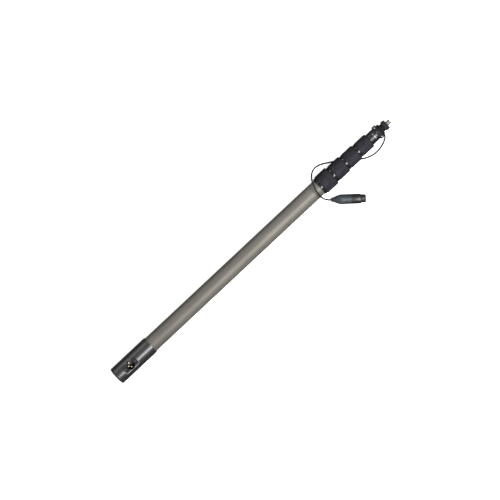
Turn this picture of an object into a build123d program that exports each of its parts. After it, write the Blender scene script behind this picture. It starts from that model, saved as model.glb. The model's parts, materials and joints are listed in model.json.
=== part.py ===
from build123d import *
import os
from math import cos, pi, radians, sin, tan

# A five-section telescopic boom pole, collapsed and lying on a flat surface. It runs along +X
# with its butt at the low end. The surface is z = 0, and the origin is under the middle of the
# pole. A station is a distance along the pole, measured from the butt's end face.

# Driving dimensions, in millimetres
pole_length = 692.0
tube_od = (31.75, 28.575, 25.4, 22.225, 19.05)
tube_wall = 1.25
inner_tube_length = 500.0

first_stage = 517.8  # station where the first locking collar begins
stage_pitch = 31.75  # from each collar to the next when the pole is collapsed
collar_od = (38.6, 34.8, 31.9, 29.2)
collar_length = 27.0
ferrule_od = (35.5, 33.2, 30.2, 27.8)
ferrule_ring_length = 4.5
boss_length = 13.0  # ferrule thread under the collar
thread_gap = 0.15
running_gap = 0.08

base_od = 35.0
base_start = 2.2
base_end = 87.3
cavity_r = 13.5
tube_seat = 57.3
socket_station = 34.4
socket_flat = 15.0  # height of the milled flat above the pole's axis
flat_start = 18.3
flat_end = 50.4
socket_bore_r = 7.95  # takes the nose of a standard three-pole plug
pin_r = 1.2
pin_circle_r = 4.04
socket_screw_offset = 12.0
grub_station = 83.0

coil_start = 56.0
coil_end = 641.0
coil_r = 6.5
coil_hole_r = 3.5

tip_sleeve_start = 640.4
tip_sleeve_r = 11.5
clamp_start = 657.4
clamp_end = 665.5
head_barrel_r = 9.0
head_r = 11.25
head_end = 670.6
exit_station = 667.8
exit_drop = radians(36.87)  # the cord leaves the head towards -Y, this far below horizontal
ear_screw_y = 10.4
ear_reach = 13.7
set_screw_station = 659.1
set_screw_lean = 15.0  # degrees from the top towards +Y
neck_r = 7.75
neck_end = 675.0
nut_r = 9.7
nut_end = 684.0
stud_r = 4.7625  # 3/8 inch thread, major diameter
stud_shank_r = 4.6  # plain stretch behind the thread that stands out of the nut

cord_r = 1.5
plug_length = 64.4
plug_r = 9.3
latch_start = 42.3
latch_length = 12.4

# Worked out from the driving dimensions
axis_z = collar_od[0] / 2
base_r = base_od / 2
tube_r = [od / 2 for od in tube_od]
bore_r = [r - tube_wall for r in tube_r]
stages = range(4)
stage_start = [first_stage + stage_pitch * stage for stage in stages]
tube_past_collar = boss_length - 0.55
tube_end = [start + tube_past_collar for start in stage_start] + [657.25]
tube_start = [tube_seat] + [end - inner_tube_length for end in tube_end[1:]]
coil_span = (coil_end - coil_start) / 4
middle = pole_length / 2

POLE = Axis((0, 0, axis_z), (1, 0, 0))
MERIDIAN = Plane(origin=(-middle, 0, axis_z), x_dir=(1, 0, 0), z_dir=(0, -1, 0))
SOCKET = Plane(origin=(socket_station - middle, 0, axis_z), x_dir=(1, 0, 0), z_dir=(0, 0, 1))
BOTTOM = (Align.CENTER, Align.CENTER, Align.MIN)

os.makedirs("parts", exist_ok=True)


def keep(piece, name):
    """Label a finished piece and write it."""
    piece.part.label = name
    export_step(piece.part, f"parts/{name}.step")


def turned(outline, plane=MERIDIAN, axis=POLE):
    """A body turned about an axis from its (station, radius) corners."""
    with BuildPart() as piece:
        with BuildSketch(plane):
            with BuildLine():
                Polyline(*outline, close=True)
            make_face()
        revolve(axis=axis)
    return piece


def pipe(start, end, outer_r, inner_r):
    """Corners of a plain ring between two stations."""
    return ((start, inner_r), (start, outer_r), (end, outer_r), (end, inner_r))


def spokes(station, count, first_angle=0):
    """Places round the pole's axis, with local Z pointing outwards from it."""
    return [
        Location((station - middle, 0, axis_z), (-first_angle - 360 * i / count, 0, 0))
        for i in range(count)
    ]


# ---------------------------------------------------------------- butt end
with BuildPart() as base_housing:
    chamfer_start = 0.5
    shoulder = 1.4
    with BuildSketch(MERIDIAN):
        with BuildLine():
            Polyline(
                (base_start, base_r - chamfer_start),
                (base_start + chamfer_start, base_r),
                (base_end - shoulder, base_r),
                (base_end, base_r - shoulder),
                (base_end, tube_r[0]),
                (tube_seat, tube_r[0]),
                (tube_seat, cavity_r),
                (9.0, cavity_r),
                (9.0, cavity_r + 0.5),
                (base_start, cavity_r + 0.5),
                close=True,
            )
        make_face()
    revolve(axis=POLE)
    with Locations(((flat_start + flat_end) / 2 - middle, 0, axis_z + socket_flat)):
        Box(flat_end - flat_start, base_od, base_od, align=BOTTOM, mode=Mode.SUBTRACT)
    with BuildSketch(SOCKET):
        Circle(socket_bore_r + 0.6)
        with Locations((socket_screw_offset, 0), (-socket_screw_offset, 0)):
            Circle(1.35)
    extrude(amount=base_r, mode=Mode.SUBTRACT)
    with Locations(*spokes(grub_station, 3, 38)):
        Cylinder(1.55, 2 * base_r, align=BOTTOM, mode=Mode.SUBTRACT)
keep(base_housing, "base_housing")

with BuildPart() as butt_cap:
    cap_flat_r = 11.0
    spigot_r = cavity_r + 0.45
    with BuildSketch(MERIDIAN):
        with BuildLine():
            Line((0, 0), (0, cap_flat_r))
            ThreePointArc((0, cap_flat_r), (0.75, 14.8), (base_start, base_r - 0.5))
            Polyline(
                (base_start, base_r - 0.5),
                (base_start, spigot_r),
                (8.6, spigot_r),
                (8.6, 11.0),
                (3.4, 11.0),
                (3.4, 0),
                (0, 0),
            )
        make_face()
    revolve(axis=POLE)
keep(butt_cap, "butt_cap")

# ---------------------------------------------------------------- output socket in the base
insert_top = -2.0
insert_bottom = -8.0
cup_end = -10.5
pin_top = 10.0
flange_thickness = 0.8
pin_places = ((-pin_circle_r, 0), (0, pin_circle_r), (0, -pin_circle_r))

with BuildPart() as socket_shell:
    with BuildSketch(SOCKET.offset(insert_bottom - 1.0)):
        Circle(socket_bore_r + 0.55)
    extrude(amount=socket_flat - insert_bottom + 1.0)
    with BuildSketch(SOCKET.offset(socket_flat)):
        RectangleRounded(31.0, 15.0, 4.0)
        Circle(socket_bore_r + 0.55)
    extrude(amount=flange_thickness)
    with BuildSketch(SOCKET.offset(insert_bottom - 1.0)):
        Circle(socket_bore_r)
    extrude(amount=2 * base_r, mode=Mode.SUBTRACT)
    with BuildSketch(SOCKET.offset(socket_flat)):
        with Locations((socket_screw_offset, 0), (-socket_screw_offset, 0)):
            Circle(1.35)
    extrude(amount=base_r, mode=Mode.SUBTRACT)
keep(socket_shell, "socket_shell")

with BuildPart() as socket_insert:
    with BuildSketch(SOCKET.offset(insert_bottom)):
        Circle(socket_bore_r)
        with Locations(*pin_places):
            Circle(pin_r, mode=Mode.SUBTRACT)
        with Locations((socket_bore_r, 0)):
            Rectangle(2.4, 2.0, mode=Mode.SUBTRACT)
    extrude(amount=insert_top - insert_bottom)
keep(socket_insert, "socket_insert")

with BuildPart() as socket_pins:
    with BuildSketch(SOCKET.offset(cup_end)):
        with Locations(*pin_places):
            Circle(pin_r)
    extrude(amount=pin_top - cup_end)
    fillet(socket_pins.edges().group_by(Axis.Z)[-1], radius=0.9)
keep(socket_pins, "socket_pins")

with BuildPart() as socket_screws:
    screw_seat = socket_flat + flange_thickness
    with BuildSketch(SOCKET.offset(screw_seat)):
        with Locations((socket_screw_offset, 0), (-socket_screw_offset, 0)):
            Circle(2.4)
    extrude(amount=1.0)
    fillet(socket_screws.edges().group_by(Axis.Z)[-1], radius=0.4)
    with BuildSketch(SOCKET.offset(cavity_r - 1.0)):
        with Locations((socket_screw_offset, 0), (-socket_screw_offset, 0)):
            Circle(1.25)
    extrude(amount=screw_seat - cavity_r + 1.0)
keep(socket_screws, "socket_screws")

with BuildPart() as grub_screws:
    grub_length = 1.5
    with Locations(*[place * Location((0, 0, tube_r[0])) for place in spokes(grub_station, 3, 38)]):
        Cylinder(1.5, grub_length, align=BOTTOM)
keep(grub_screws, "grub_screws")

anchor_start = 50.0
keep(turned(pipe(anchor_start, 56.0, cavity_r - 0.05, cord_r)), "cable_anchor")

lead_r = 0.6
lead_low = -12.0
with BuildPart() as socket_leads:
    for pin_x, pin_y in pin_places:
        end_z = 4.2 - 4.2 * abs(pin_y) / pin_circle_r
        lead_points = (
            (pin_x, pin_y, cup_end),
            (pin_x, pin_y, lead_low),
            (9.6, pin_y, lead_low),
            (12.6, 0.7 * pin_y, -2.0 - end_z),
            (anchor_start - socket_station, 0.7 * pin_y, -2.0 - end_z),
        )
        with BuildLine(SOCKET) as lead_path:
            FilletPolyline(*lead_points, radius=0.9)
        with BuildSketch(Plane(origin=lead_path.line @ 0, z_dir=lead_path.line % 0)):
            Circle(lead_r)
        sweep(path=lead_path.line)
keep(socket_leads, "socket_leads")


# ---------------------------------------------------------------- tubes and locking stages
for number in range(5):
    outline = pipe(tube_start[number], tube_end[number], tube_r[number], bore_r[number])
    keep(turned(outline), f"tube_{number + 1}")

for number in range(1, 5):
    flange_r = bore_r[number - 1] - running_gap
    spigot_r = bore_r[number]
    hole_r = spigot_r - 0.95
    start = tube_start[number]
    guide_bush = turned((
        (start - 2.5, hole_r),
        (start - 2.5, flange_r),
        (start, flange_r),
        (start, spigot_r),
        (start + 8.0, spigot_r),
        (start + 8.0, hole_r),
    ))
    keep(guide_bush, f"guide_bush_{number + 1}")

for stage in stages:
    start = stage_start[stage]
    outer_tube_r = tube_r[stage]
    inner_tube_r = tube_r[stage + 1]
    collar_r = collar_od[stage] / 2
    ferrule_r = ferrule_od[stage] / 2
    boss_r = outer_tube_r + 1.4
    cone_end_r = inner_tube_r + 1.15
    cone_start = start + boss_length + 0.4
    cone_end = start + 22.9

    ferrule = turned((
        (start - ferrule_ring_length, outer_tube_r),
        (start - ferrule_ring_length, ferrule_r - 0.4),
        (start - ferrule_ring_length + 0.4, ferrule_r),
        (start - 0.4, ferrule_r),
        (start, ferrule_r - 0.4),
        (start, boss_r),
        (start + boss_length, boss_r),
        (start + boss_length, inner_tube_r + 0.15),
        (start + tube_past_collar, inner_tube_r + 0.15),
        (start + tube_past_collar, outer_tube_r),
    ))
    keep(ferrule, f"ferrule_{stage + 1}")

    collar_chamfer = 1.2
    wiper_start = start + 23.6
    wiper_end = start + 26.3
    back = start + 0.2
    front = start + collar_length
    lock_collar = turned((
        (back, boss_r + thread_gap),
        (back, collar_r - collar_chamfer),
        (back + collar_chamfer, collar_r),
        (front - collar_chamfer, collar_r),
        (front, collar_r - collar_chamfer),
        (front, inner_tube_r + 0.4),
        (wiper_end, inner_tube_r + 0.4),
        (wiper_end, cone_end_r),
        (cone_end, cone_end_r),
        (cone_start, boss_r + thread_gap),
    ))
    keep(lock_collar, f"lock_collar_{stage + 1}")

    keep(
        turned(pipe(wiper_start, wiper_end, cone_end_r, inner_tube_r + running_gap)),
        f"wiper_{stage + 1}",
    )

    collet_gap = 0.25
    collet_start = start + boss_length + 0.5
    collet_end = cone_end - 0.3
    with BuildPart() as collet:
        with BuildSketch(MERIDIAN):
            with BuildLine():
                Polyline(
                    (collet_start, inner_tube_r + running_gap),
                    (collet_start, boss_r - collet_gap),
                    (collet_end, cone_end_r - collet_gap),
                    (collet_end, inner_tube_r + running_gap),
                    close=True,
                )
            make_face()
        revolve(axis=POLE)
        with Locations(*spokes(collet_start + 3.0, 6)):
            Box(
                collet_end - collet_start,
                0.8,
                collar_r,
                align=(Align.MIN, Align.CENTER, Align.MIN),
                mode=Mode.SUBTRACT,
            )
    keep(collet, f"collet_{stage + 1}")

    coil_from = coil_start + coil_span * stage
    keep(turned(pipe(coil_from, coil_from + coil_span, coil_r, coil_hole_r)), f"coil_{stage + 1}")


# ---------------------------------------------------------------- tip
keep(turned(pipe(tip_sleeve_start, tube_end[4], tip_sleeve_r, tube_r[4])), "tip_sleeve")

exit_x = exit_station - middle
exit_dir = Vector(0, -cos(exit_drop), -sin(exit_drop))
exit_centre = Vector(exit_x, 0, axis_z)
EXIT = Plane(origin=exit_centre, x_dir=(1, 0, 0), z_dir=exit_dir)
grommet_r = 2.1

with BuildPart() as cable_head:
    spigot_start = 645.0
    lead_room_r = 4.2
    lead_room_end = 669.4
    with BuildSketch(MERIDIAN):
        with BuildLine():
            Polyline(
                (spigot_start, lead_room_r),
                (spigot_start, bore_r[4]),
                (tube_end[4], bore_r[4]),
                (tube_end[4], head_barrel_r),
                (clamp_end + 0.1, head_barrel_r),
                (clamp_end + 0.1, head_r),
                (head_end - 0.6, head_r),
                (head_end, head_r - 0.6),
                (head_end, 0),
                (lead_room_end, 0),
                (lead_room_end, lead_room_r),
                close=True,
            )
        make_face()
    revolve(axis=POLE)
    with BuildSketch(EXIT):
        Circle(grommet_r)
    extrude(amount=2 * head_r, mode=Mode.SUBTRACT)
keep(cable_head, "cable_head")

CLAMP = Plane(origin=(clamp_start - middle, 0, axis_z), x_dir=(0, 1, 0), z_dir=(1, 0, 0))
clamp_split = 0.35
ear_half_height = 4.4
for name, side in (("clamp_upper", 1), ("clamp_lower", -1)):
    with BuildPart() as clamp:
        with BuildSketch(CLAMP):
            Circle(tip_sleeve_r)
            RectangleRounded(2 * ear_reach, 2 * ear_half_height, 2.0)
            Circle(head_barrel_r + 0.05, mode=Mode.SUBTRACT)
            with Locations((0, -side * 20.0 + side * clamp_split)):
                Rectangle(40.0, 40.0, mode=Mode.SUBTRACT)
        extrude(amount=clamp_end - clamp_start)
        with Locations(
            ((clamp_start + clamp_end) / 2 - middle, ear_screw_y, axis_z),
            ((clamp_start + clamp_end) / 2 - middle, -ear_screw_y, axis_z),
        ):
            Cylinder(1.05, 4 * ear_half_height, mode=Mode.SUBTRACT)
        if side > 0:
            with Locations(*spokes(set_screw_station, 1, set_screw_lean)):
                Cylinder(1.45, 2 * tip_sleeve_r, align=BOTTOM, mode=Mode.SUBTRACT)
            with Locations(
                ((clamp_start + clamp_end) / 2 - middle, ear_screw_y, axis_z + ear_half_height),
                ((clamp_start + clamp_end) / 2 - middle, -ear_screw_y, axis_z + ear_half_height),
            ):
                Cylinder(1.65, tip_sleeve_r, align=BOTTOM, mode=Mode.SUBTRACT)
    keep(clamp, name)

with BuildPart() as clamp_screws:
    ear_x = (clamp_start + clamp_end) / 2 - middle
    ears = ((ear_x, ear_screw_y), (ear_x, -ear_screw_y))
    with BuildSketch(Plane.XY.offset(axis_z - ear_half_height)):
        with Locations(*ears):
            Circle(1.0)
    extrude(amount=2 * ear_half_height)
    with BuildSketch(Plane.XY.offset(axis_z + ear_half_height)):
        with Locations(*ears):
            Circle(1.45)
    extrude(amount=1.3)
    fillet(clamp_screws.edges().group_by(Axis.Z)[-1], radius=0.35)
keep(clamp_screws, "clamp_screws")

with BuildPart() as head_set_screw:
    screw_place = spokes(set_screw_station, 1, set_screw_lean)[0]
    with Locations(screw_place * Location((0, 0, head_barrel_r + 0.1))):
        Cylinder(1.4, 2.9, align=BOTTOM)
keep(head_set_screw, "head_set_screw")

stud_start = head_end + 1.0
stud_base = turned((
    (head_end, 0),
    (head_end, neck_r),
    (neck_end, neck_r),
    (neck_end, stud_shank_r),
    (stud_start, stud_shank_r),
    (stud_start, 0),
))
keep(stud_base, "stud_base")

stud_chamfer = 0.8
thread_start = nut_end + 0.4
mic_stud = turned((
    (stud_start, 0),
    (stud_start, stud_shank_r),
    (thread_start, stud_shank_r),
    (thread_start, stud_r),
    (pole_length - stud_chamfer, stud_r),
    (pole_length, stud_r - stud_chamfer),
    (pole_length, 0),
))
keep(mic_stud, "mic_stud")

nut_start = neck_end + 0.3
nut_edge = 1.3
lock_nut = turned((
    (nut_start, stud_r + running_gap),
    (nut_start, nut_r - nut_edge),
    (nut_start + nut_edge, nut_r),
    (nut_end - nut_edge, nut_r),
    (nut_end, nut_r - nut_edge),
    (nut_end, stud_r + running_gap),
))
keep(lock_nut, "lock_nut")

grommet_end = 12.8
grommet_lip_r = 2.25
with BuildPart() as cable_grommet:
    with BuildSketch(Plane(origin=exit_centre, x_dir=exit_dir, z_dir=(1, 0, 0))):
        with BuildLine():
            Polyline(
                (6.0, cord_r),
                (6.0, grommet_r),
                (head_r + 0.05, grommet_r),
                (head_r + 0.05, grommet_lip_r),
                (grommet_end - 0.4, grommet_lip_r),
                (grommet_end, grommet_lip_r - 0.4),
                (grommet_end, cord_r),
                close=True,
            )
        make_face()
    revolve(axis=Axis(exit_centre, exit_dir))
keep(cable_grommet, "cable_grommet")

with BuildPart() as inner_lead:
    with BuildLine() as lead_path:
        FilletPolyline(
            (coil_end - middle, 0, axis_z),
            exit_centre,
            exit_centre + exit_dir * grommet_end,
            radius=4.0,
        )
    with BuildSketch(Plane(origin=lead_path.line @ 0, z_dir=lead_path.line % 0)):
        Circle(cord_r)
    sweep(path=lead_path.line)
keep(inner_lead, "inner_lead")

# ---------------------------------------------------------------- pigtail
# The free cord leaves the head sideways and down, reaches the surface, runs back under the third collar,
# comes up and over the first tube, and goes down into its plug on the other side.
on_floor = cord_r + 0.05
pigtail_route = [
    tuple(exit_centre + exit_dir * grommet_end),
    (exit_x, -13.4, 9.25),
    (320.3, -16.9, 7.0),
    (316.6, -20.5, 5.0),
    (310.9, -23.9, 3.2),
    (302.8, -26.8, 1.8),
    (292.6, -28.4, on_floor),
    (281.6, -27.7, on_floor),
    (270.6, -24.2, on_floor),
    (259.8, -18.2, on_floor),
    (249.6, -9.8, on_floor),
    (240.8, -0.6, on_floor),
    (232.0, 7.8, on_floor),
    (222.2, 14.2, on_floor),
    (212.0, 19.3, 1.75),
    (202.2, 24.9, 4.4),
    (193.2, 29.4, 10.4),
    (185.8, 31.9, 18.8),
    (179.2, 32.0, 27.6),
    (172.6, 29.8, 35.8),
    (166.8, 24.6, 41.6),
    (162.4, 16.4, 44.2),
    (158.8, 6.6, 44.2),
    (157.0, -2.8, 43.1),
    (156.6, -10.0, 40.2),
    (157.2, -15.8, 35.5),
    (158.3, -20.0, 27.6),
    (159.3, -22.9, 20.0),
    (160.4, -25.5, 14.1),
    (161.8, -28.1, 10.9),
    (164.2, -31.2, plug_r),
    (167.4, -33.96, plug_r),
]

route = [Vector(*point) for point in pigtail_route]
runs = [after - before for before, after in zip(route, route[1:])]
bend_radii = []
for before, after in zip(runs, runs[1:]):
    half_turn = radians(before.get_angle(after)) / 2
    bend_radii.append(0.45 * min(before.length, after.length) / tan(half_turn))
print("pigtail bend radii:", [round(radius, 1) for radius in bend_radii])

with BuildPart() as pigtail_cable:
    with BuildLine() as cord_path:
        FilletPolyline(*pigtail_route, radius=bend_radii)
    with BuildSketch(Plane(origin=route[0], z_dir=runs[0])):
        Circle(cord_r)
    sweep(path=cord_path.line)
keep(pigtail_cable, "pigtail_cable")
cord_length = sum(edge.length for edge in cord_path.edges())
print("pigtail length:", round(cord_length, 1))
print("volume ratio:", round(pigtail_cable.part.volume / (pi * cord_r**2 * cord_length), 4))

# ---------------------------------------------------------------- plug on the pigtail
# It lies on the surface, in line with the cord's last run.
plug_dir = runs[-1].normalized()
plug_side = plug_dir.cross(Vector(0, 0, 1))
plug_origin = route[-1]
PLUG = Plane(origin=plug_origin, x_dir=plug_dir, z_dir=plug_side)
PLUG_AXIS = Axis(plug_origin, plug_dir)
boot_end = 37.0
boot_thread_start = 30.0
nose_start = 56.0
shell_r = 9.2
nose_r = 7.7
shell_bore_r = 7.1


def plug_plane(distance):
    """A plane across the plug, this far from where the cord goes in, with local Y upwards."""
    return Plane(
        origin=plug_origin + plug_dir * distance,
        x_dir=plug_dir.cross(Vector(0, 0, -1)),
        z_dir=plug_dir,
    )


with BuildPart() as plug_boot:
    with BuildSketch(PLUG):
        with BuildLine():
            Polyline((0, cord_r), (0, 3.9), (0.6, 4.5), (2.4, 4.5), (3.0, 4.9))
            ThreePointArc((3.0, 4.9), (10.0, 7.6), (19.0, plug_r))
            Polyline(
                (19.0, plug_r),
                (boot_end, plug_r),
                (boot_end, 8.1),
                (boot_thread_start, 8.1),
                (boot_thread_start, 6.6),
                (14.0, 6.2),
                (8.0, 3.0),
                (6.0, cord_r),
                (0, cord_r),
            )
        make_face()
    revolve(axis=PLUG_AXIS)
keep(plug_boot, "plug_boot")

chuck_start = 13.0
with BuildPart() as plug_chuck:
    with BuildSketch(PLUG):
        with BuildLine():
            Polyline(
                (chuck_start, cord_r),
                (chuck_start, 4.6),
                (chuck_start + 2.0, 5.6),
                (32.0, 5.6),
                (32.0, 4.2),
                (20.0, 4.2),
                (20.0, cord_r),
                close=True,
            )
        make_face()
    revolve(axis=PLUG_AXIS)
    with BuildSketch(plug_plane(chuck_start)):
        Rectangle(0.8, 2 * plug_r)
    extrude(amount=5.0, mode=Mode.SUBTRACT)
keep(plug_chuck, "plug_chuck")

keep(turned(pipe(0, 34.0, cord_r, 0), PLUG, PLUG_AXIS), "plug_lead")

with BuildPart() as plug_shell:
    with BuildSketch(PLUG):
        with BuildLine():
            Polyline(
                (boot_thread_start + 0.5, shell_bore_r),
                (boot_thread_start + 0.5, 8.0),
                (boot_end, 8.0),
                (boot_end, shell_r - 0.3),
                (boot_end + 0.3, shell_r),
                (nose_start - 2.0, shell_r - 0.3),
                (nose_start, nose_r),
                (plug_length - 0.8, nose_r),
                (plug_length, nose_r - 0.5),
                (plug_length, shell_bore_r),
                close=True,
            )
        make_face()
    revolve(axis=PLUG_AXIS)
    with BuildSketch(plug_plane(latch_start - 0.3)):
        with Locations((0, plug_r)):
            Rectangle(5.6, 7.0)
    extrude(amount=latch_length + 0.6, mode=Mode.SUBTRACT)
keep(plug_shell, "plug_shell")

contact_places = ((0, -pin_circle_r), (pin_circle_r, 0), (-pin_circle_r, 0))
insert_start = 38.0
insert_end = 63.2
with BuildPart() as plug_insert:
    with BuildSketch(plug_plane(insert_start)):
        Circle(shell_bore_r)
        with Locations(*contact_places):
            Circle(1.7, mode=Mode.SUBTRACT)
    extrude(amount=insert_end - 1.5 - insert_start)
    with BuildSketch(plug_plane(insert_end - 1.5)):
        Circle(shell_bore_r)
        with Locations(*contact_places):
            Circle(1.3, mode=Mode.SUBTRACT)
    extrude(amount=1.5)
    with BuildSketch(plug_plane(insert_start)):
        with Locations((0, shell_bore_r)):
            Rectangle(2 * shell_bore_r, 2.4)
    extrude(amount=latch_start + latch_length + 0.6 - insert_start, mode=Mode.SUBTRACT)
keep(plug_insert, "plug_insert")

with BuildPart() as plug_contacts:
    with BuildSketch(plug_plane(insert_start - 3.0)):
        with Locations(*contact_places):
            Circle(1.7)
    extrude(amount=insert_end - 1.5 - insert_start + 3.0)
    with BuildSketch(plug_plane(insert_end - 12.0)):
        with Locations(*contact_places):
            Circle(1.25)
    extrude(amount=12.0, mode=Mode.SUBTRACT)
keep(plug_contacts, "plug_contacts")

with BuildPart() as plug_latch:
    latch_proud = 0.6
    latch_depth = 2.2
    with BuildSketch(plug_plane(latch_start)):
        with Locations((0, shell_r + latch_proud - latch_depth / 2)):
            RectangleRounded(5.0, latch_depth, 0.5)
    extrude(amount=latch_length)
keep(plug_latch, "plug_latch")
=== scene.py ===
import json
from math import cos, pi, radians, sin, sqrt, tau

import bmesh
import bpy
from mathutils import Matrix, Vector

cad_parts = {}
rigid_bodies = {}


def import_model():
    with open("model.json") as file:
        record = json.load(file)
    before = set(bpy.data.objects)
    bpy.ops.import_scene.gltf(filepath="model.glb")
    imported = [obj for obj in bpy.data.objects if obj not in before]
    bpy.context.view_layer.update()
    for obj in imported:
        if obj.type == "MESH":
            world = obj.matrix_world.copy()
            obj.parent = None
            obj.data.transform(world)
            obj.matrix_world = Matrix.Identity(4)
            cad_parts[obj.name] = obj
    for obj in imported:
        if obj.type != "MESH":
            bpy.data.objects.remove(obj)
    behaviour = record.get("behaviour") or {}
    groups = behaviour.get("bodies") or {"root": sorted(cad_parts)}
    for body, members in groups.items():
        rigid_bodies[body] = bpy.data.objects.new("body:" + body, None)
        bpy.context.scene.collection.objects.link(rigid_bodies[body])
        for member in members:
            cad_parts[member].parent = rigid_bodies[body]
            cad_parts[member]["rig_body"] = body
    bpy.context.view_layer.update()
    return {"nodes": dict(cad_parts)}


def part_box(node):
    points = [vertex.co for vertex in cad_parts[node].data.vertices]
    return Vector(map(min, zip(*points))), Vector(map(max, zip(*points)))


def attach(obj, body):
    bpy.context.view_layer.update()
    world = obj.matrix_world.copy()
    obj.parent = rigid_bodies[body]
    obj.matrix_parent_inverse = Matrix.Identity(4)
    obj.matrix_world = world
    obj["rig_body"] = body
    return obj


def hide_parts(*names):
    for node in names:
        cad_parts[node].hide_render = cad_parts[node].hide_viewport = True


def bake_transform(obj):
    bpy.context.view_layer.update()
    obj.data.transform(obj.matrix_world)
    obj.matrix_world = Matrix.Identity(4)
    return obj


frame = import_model()

# A collapsed boom pole on a pale floor. The frame is in metres; outlines here are in millimetres,
# in the pole's own stations (from the butt's end face) or along the plug, and each is scaled
# into the frame by its place matrix.
MM = 1000
BUTT_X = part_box("butt_cap")[0].x
AXIS_Z = (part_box("lock_collar_1")[0].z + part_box("lock_collar_1")[1].z) / 2
SCALE = Matrix.Scale(1 / MM, 4)
POLE = Matrix.Translation((BUTT_X, 0, AXIS_Z)) @ SCALE
STAGES = range(1, 5)  # each has a ferrule, a collar and a coil
CUT_PAST = 30  # where cutters end, beyond any outer surface
SNUG = 0.02  # clearance between pieces that are fixed together

# ------------------------------------------------------------------ camera
POLE_TURN = radians(43.1)  # how far the pole is turned across the picture
ELEVATION = radians(82.0)
FIELD = 0.923  # width of the picture at the object
DISTANCE = 8.0
FRAMING = (-0.0057, -0.0020)  # picture centre, right and up of the pole's middle


def make_camera():
    """A long lens almost straight above, from the +Y side."""
    back = Vector((0, cos(ELEVATION), sin(ELEVATION)))
    across = Vector((0, sin(ELEVATION), -cos(ELEVATION)))
    along = Vector((1, 0, 0))
    right = along * cos(POLE_TURN) - across * sin(POLE_TURN)
    up = along * sin(POLE_TURN) + across * cos(POLE_TURN)
    target = Vector((0, 0, AXIS_Z)) + right * FRAMING[0] + up * FRAMING[1]
    data = bpy.data.cameras.new("camera")
    camera = bpy.data.objects.new("camera", data)
    bpy.context.scene.collection.objects.link(camera)
    data.lens = data.sensor_width * DISTANCE / FIELD
    data.clip_end = 4 * DISTANCE
    turn = Matrix((right, up, back)).transposed().to_4x4()
    camera.matrix_world = Matrix.Translation(target + back * DISTANCE) @ turn
    bpy.context.scene.camera = camera


make_camera()


# ------------------------------------------------------------------ materials
def tint(red, green, blue):
    """A linear colour from 8-bit display values."""
    def linear(value):
        value /= 255
        return value / 12.92 if value <= 0.04045 else ((value + 0.055) / 1.055) ** 2.4

    return (linear(red), linear(green), linear(blue), 1)


class Finish:
    """A Principled material whose detail comes from noise in the object's own coordinates."""

    def __init__(self, name, constants):
        self.material = bpy.data.materials.new(name)
        self.material.use_nodes = True
        self.tree = self.material.node_tree
        self.shader = self.tree.nodes["Principled BSDF"]
        self.coordinates = self.tree.nodes.new("ShaderNodeTexCoord").outputs["Object"]
        for socket, value in constants.items():
            self.shader.inputs[socket].default_value = value

    def noise(self, size, stretch=(1, 1, 1), detail=3.0, rough=0.55):
        """Noise with features about this many millimetres wide, times stretch along each axis."""
        mapping = self.tree.nodes.new("ShaderNodeMapping")
        mapping.inputs["Scale"].default_value = [MM / (size * s) for s in stretch]
        texture = self.tree.nodes.new("ShaderNodeTexNoise")
        texture.inputs["Scale"].default_value = 1.0
        texture.inputs["Detail"].default_value = detail
        texture.inputs["Roughness"].default_value = rough
        self.tree.links.new(self.coordinates, mapping.inputs["Vector"])
        self.tree.links.new(mapping.outputs["Vector"], texture.inputs["Vector"])
        return texture.outputs["Fac"]

    def spread(self, value, low, high, start=0.35, end=0.65):
        """Maps start..end of a value onto low..high."""
        node = self.tree.nodes.new("ShaderNodeMapRange")
        # Inputs 1 to 4 are From Min, From Max, To Min and To Max.
        for socket, number in zip(node.inputs[1:5], (start, end, low, high)):
            socket.default_value = number
        self.tree.links.new(value, node.inputs["Value"])
        return node.outputs["Result"]

    def join(self, operation, first, second):
        """Two values put together by a Math node."""
        node = self.tree.nodes.new("ShaderNodeMath")
        node.operation = operation
        self.tree.links.new(first, node.inputs[0])
        self.tree.links.new(second, node.inputs[1])
        return node.outputs["Value"]

    def colours(self, share, first, second):
        """The base colour, from first at share 0 to second at share 1."""
        node = self.tree.nodes.new("ShaderNodeMix")
        node.data_type = "RGBA"
        factor = next(s for s in node.inputs if s.enabled and s.name == "Factor")
        self.tree.links.new(share, factor)
        ends = [s for s in node.inputs if s.enabled and s.name in ("A", "B")]
        for socket, colour in zip(ends, (first, second)):
            socket.default_value = colour
        result = next(s for s in node.outputs if s.enabled)
        self.tree.links.new(result, self.shader.inputs["Base Color"])

    def roughness(self, share, low, high):
        """The roughness, between two values."""
        result = self.spread(share, low, high)
        self.tree.links.new(result, self.shader.inputs["Roughness"])

    def bump(self, height, depth, strength=0.6):
        """Raises the surface by up to this depth, in millimetres."""
        node = self.tree.nodes.new("ShaderNodeBump")
        node.inputs["Strength"].default_value = strength
        node.inputs["Distance"].default_value = depth / MM
        self.tree.links.new(height, node.inputs["Height"])
        self.tree.links.new(node.outputs["Normal"], self.shader.inputs["Normal"])


def tube_anodised():
    """Satin titanium-grey anodising, with the drawn tube's lengthwise grain and faint rub marks."""
    finish = Finish("tube_anodised", {"Metallic": 0.3, "Specular IOR Level": 0.35})
    grain = finish.noise(0.5, (60, 1, 1), detail=4.0)
    clouds = finish.noise(28, (2.5, 1, 1))
    marks = finish.spread(finish.noise(1.1, (34, 1, 1), detail=2.0), 0, 0.35, 0.62, 0.72)
    mottle = finish.spread(finish.join("ADD", grain, clouds), 0, 1, 0.8, 1.2)
    share = finish.join("MAXIMUM", mottle, marks)
    finish.colours(share, tint(108, 105, 98), tint(120, 116, 109))
    finish.roughness(grain, 0.48, 0.58)
    finish.bump(grain, 0.02, 0.35)
    return finish.material


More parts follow.
